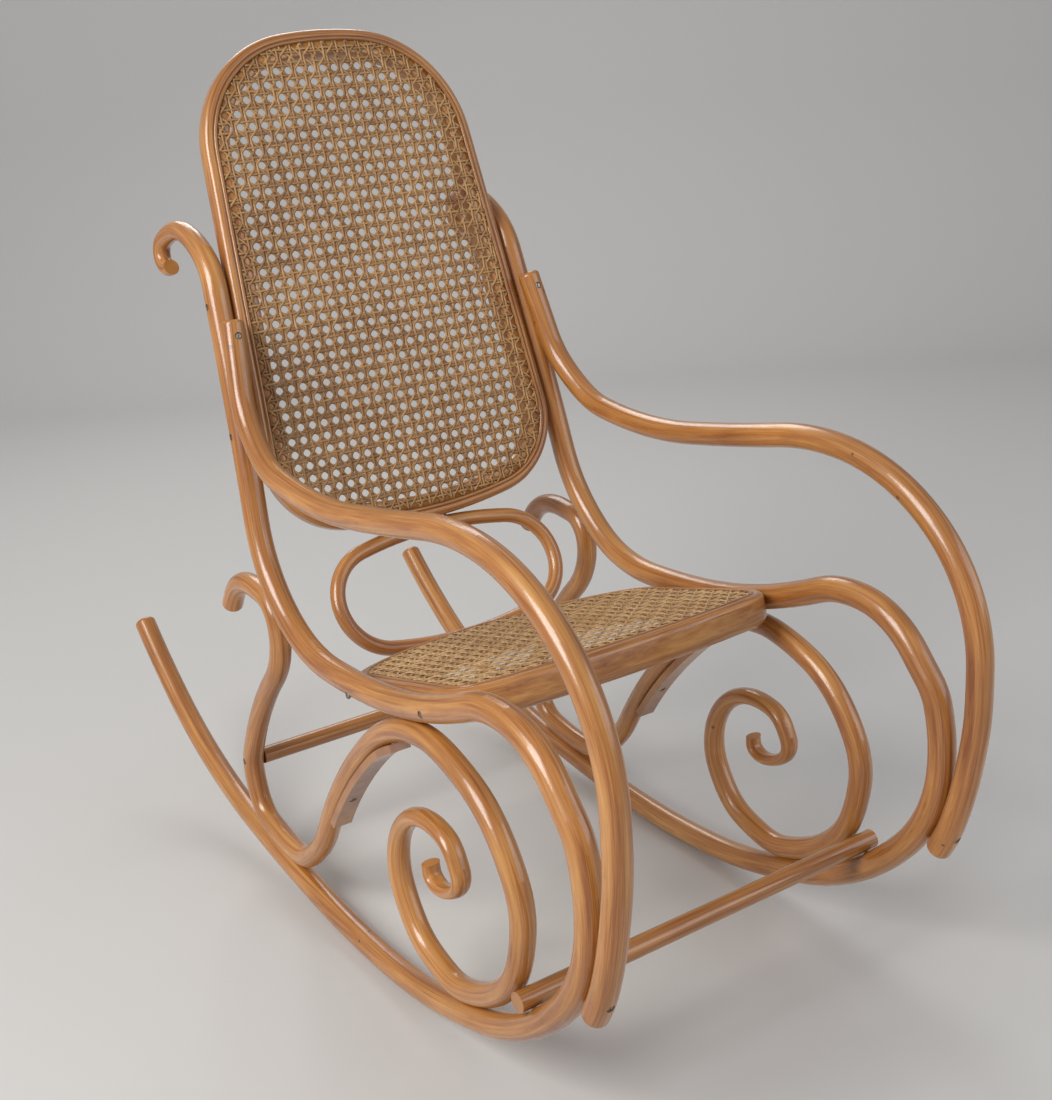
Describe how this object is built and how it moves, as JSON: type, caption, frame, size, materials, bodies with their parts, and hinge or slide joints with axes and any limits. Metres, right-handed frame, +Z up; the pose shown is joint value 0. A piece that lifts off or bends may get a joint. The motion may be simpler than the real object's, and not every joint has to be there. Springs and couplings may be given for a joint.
{
  "type": "rocking chair",
  "caption": "Bentwood rocking chair: scrolled side frames on long curved runners, sweeping arms, and a woven cane seat and tall cane back.",
  "frame": {"origin": "on the floor, under the middle of the chair's bounding box", "axes": "+Z up; +X across the chair towards the sitter's left; -Y the way the sitter faces"},
  "size_m": [0.492, 1.2028, 1.0599],
  "materials": {
    "bentwood": "clear gloss lacquer on honey-brown steam-bent beech",
    "brace_wood": "clear gloss lacquer on a flat bent strip",
    "frame_wood": "clear gloss lacquer on flat bent frames",
    "back_weave": "aged amber six-way woven cane, satin",
    "seat_weave": "straw six-way woven cane, satin",
    "spline_cane": "round reed pressed into its groove, satin",
    "screw_steel": "dulled steel"
  },
  "bodies": {
    "root": {"side_runner_left": "bentwood", "side_runner_right": "bentwood", "arm_left": "bentwood", "arm_right": "bentwood", "leg_scroll_left": "bentwood", "leg_scroll_right": "bentwood", "front_stretcher": "bentwood", "rear_stretcher": "bentwood", "back_ring": "bentwood", "leg_brace_left": "brace_wood", "leg_brace_right": "brace_wood", "back_frame": "frame_wood", "seat_frame": "frame_wood", "back_cane": "back_weave", "seat_cane": "seat_weave", "back_spline": "spline_cane", "seat_spline": "spline_cane", "arm_screws": "screw_steel", "scroll_screws": "screw_steel", "stretcher_screws": "screw_steel", "back_screws": "screw_steel", "seat_screws": "screw_steel", "ring_screws": "screw_steel", "brace_screws": "screw_steel"}
  },
  "joints": []
}
